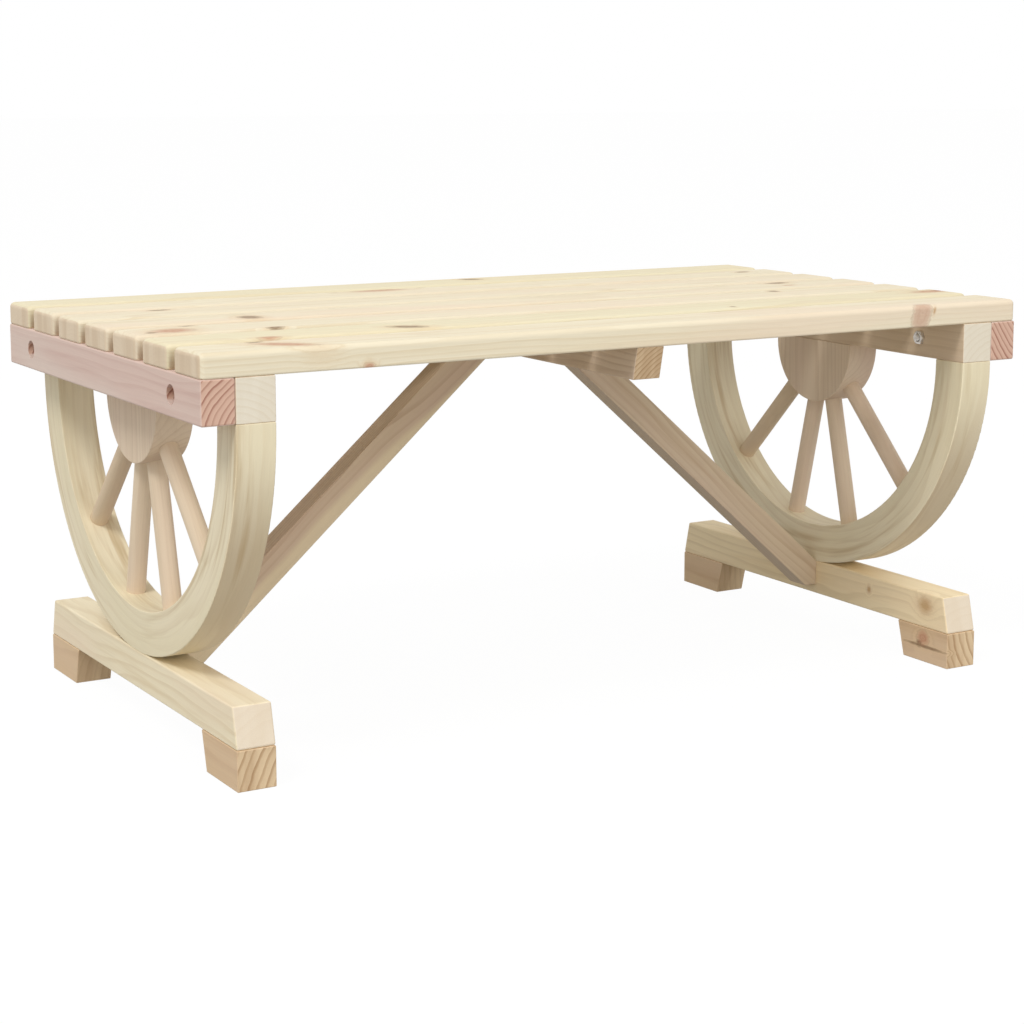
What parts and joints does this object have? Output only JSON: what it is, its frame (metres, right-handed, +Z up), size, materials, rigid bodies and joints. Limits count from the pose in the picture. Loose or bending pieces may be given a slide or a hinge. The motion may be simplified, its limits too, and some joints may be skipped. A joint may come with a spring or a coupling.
{
  "type": "coffee table",
  "caption": "Rustic slatted coffee table on half wagon wheels with hubs and spokes, standing on base beams with feet and held by diagonal braces under the top.",
  "frame": {"origin": "on the floor under the middle of the table", "axes": "+X along the slats, -Y the front in the picture, +Z up"},
  "size_m": [0.9, 0.5, 0.385],
  "materials": {
    "slat_pine": "planed, unfinished",
    "rail_pine": "planed, unfinished",
    "wheel_pine": "planed, unfinished",
    "spoke_pine": "turned, unfinished",
    "beam_pine": "planed, unfinished",
    "foot_pine": "sawn, unfinished",
    "brace_pine": "planed, unfinished",
    "dowel_beech": "turned, unfinished",
    "zinc_steel": "zinc plated"
  },
  "bodies": {
    "root": {"beam_screws": "zinc_steel", "bolt_washers": "zinc_steel", "brace_dowels": "dowel_beech", "brace_screws": "zinc_steel", "end_rail_screws": "zinc_steel", "foot_screws": "zinc_steel", "frame_bolts": "zinc_steel", "frame_nuts": "zinc_steel", "hub_screws": "zinc_steel", "left_back_foot": "foot_pine", "left_base_beam": "beam_pine", "left_brace": "brace_pine", "left_crossbar": "wheel_pine", "left_end_rail": "rail_pine", "left_front_foot": "foot_pine", "left_spoke_1": "spoke_pine", "left_spoke_2": "spoke_pine", "left_spoke_3": "spoke_pine", "left_spoke_4": "spoke_pine", "left_wheel_hub": "spoke_pine", "left_wheel_rim": "wheel_pine", "middle_rail": "brace_pine", "middle_rail_screws": "zinc_steel", "right_back_foot": "foot_pine", "right_base_beam": "beam_pine", "right_brace": "brace_pine", "right_crossbar": "wheel_pine", "right_end_rail": "rail_pine", "right_front_foot": "foot_pine", "right_spoke_1": "spoke_pine", "right_spoke_2": "spoke_pine", "right_spoke_3": "spoke_pine", "right_spoke_4": "spoke_pine", "right_wheel_hub": "spoke_pine", "right_wheel_rim": "wheel_pine", "rim_screws": "zinc_steel", "top_slat_1": "slat_pine", "top_slat_2": "slat_pine", "top_slat_3": "slat_pine", "top_slat_4": "slat_pine", "top_slat_5": "slat_pine", "top_slat_6": "slat_pine", "top_slat_7": "slat_pine"}
  },
  "joints": []
}
